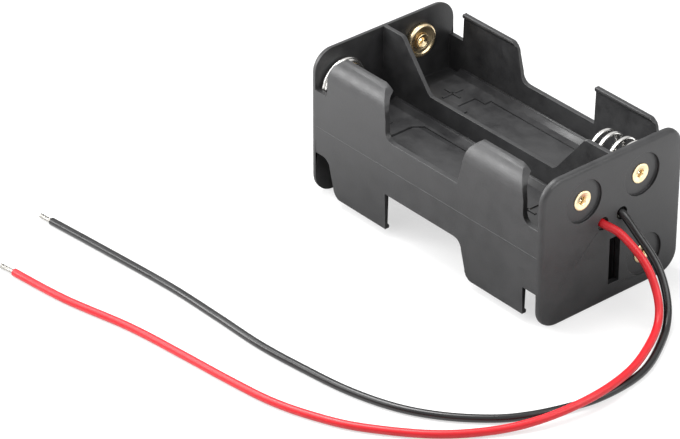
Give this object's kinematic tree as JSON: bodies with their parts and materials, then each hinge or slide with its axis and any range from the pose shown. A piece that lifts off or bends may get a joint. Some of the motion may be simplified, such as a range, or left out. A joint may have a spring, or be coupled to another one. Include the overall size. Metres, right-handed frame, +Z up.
{
  "type": "cylindrical cell holder",
  "caption": "Open back-to-back holder for cylindrical cells: moulded frame with snap-over lips, coil springs and riveted domes at the ends, and two flying leads with bared ends.",
  "frame": {"origin": "centre of the holder's footprint, on the surface that the end plates stand on", "axes": "+X along the cells towards the end plate with the leads, +Z up out of the upper pair of bays"},
  "size_m": [0.1032, 0.0873, 0.028],
  "materials": {
    "plastic_black": "satin",
    "spring_nickel": "bright nickel plate",
    "contact_brass": "bright",
    "strip_tinned": "tin plate",
    "insulation_red": "gloss",
    "insulation_black": "gloss",
    "strands_tinned": "tin plate"
  },
  "bodies": {
    "root": {"holder_body": "plastic_black", "spring_far_upper": "spring_nickel", "spring_near_upper": "spring_nickel", "spring_far_lower": "spring_nickel", "spring_near_lower": "spring_nickel", "dome_near_upper": "contact_brass", "dome_far_upper": "contact_brass", "dome_near_lower": "contact_brass", "dome_far_lower": "contact_brass", "rivet_near_left": "contact_brass", "rivet_near_right": "contact_brass", "rivet_near_lower": "contact_brass", "eyelet_negative": "contact_brass", "rivet_far_upper_left": "contact_brass", "rivet_far_upper_right": "contact_brass", "rivet_far_lower_left": "contact_brass", "rivet_far_lower_right": "contact_brass", "link_near": "strip_tinned", "strap_far_upper": "strip_tinned", "strap_far_lower": "strip_tinned", "terminal_positive": "strip_tinned", "terminal_negative": "strip_tinned", "red_lead": "insulation_red", "black_lead": "insulation_black", "red_strands": "strands_tinned", "black_strands": "strands_tinned"}
  },
  "joints": []
}
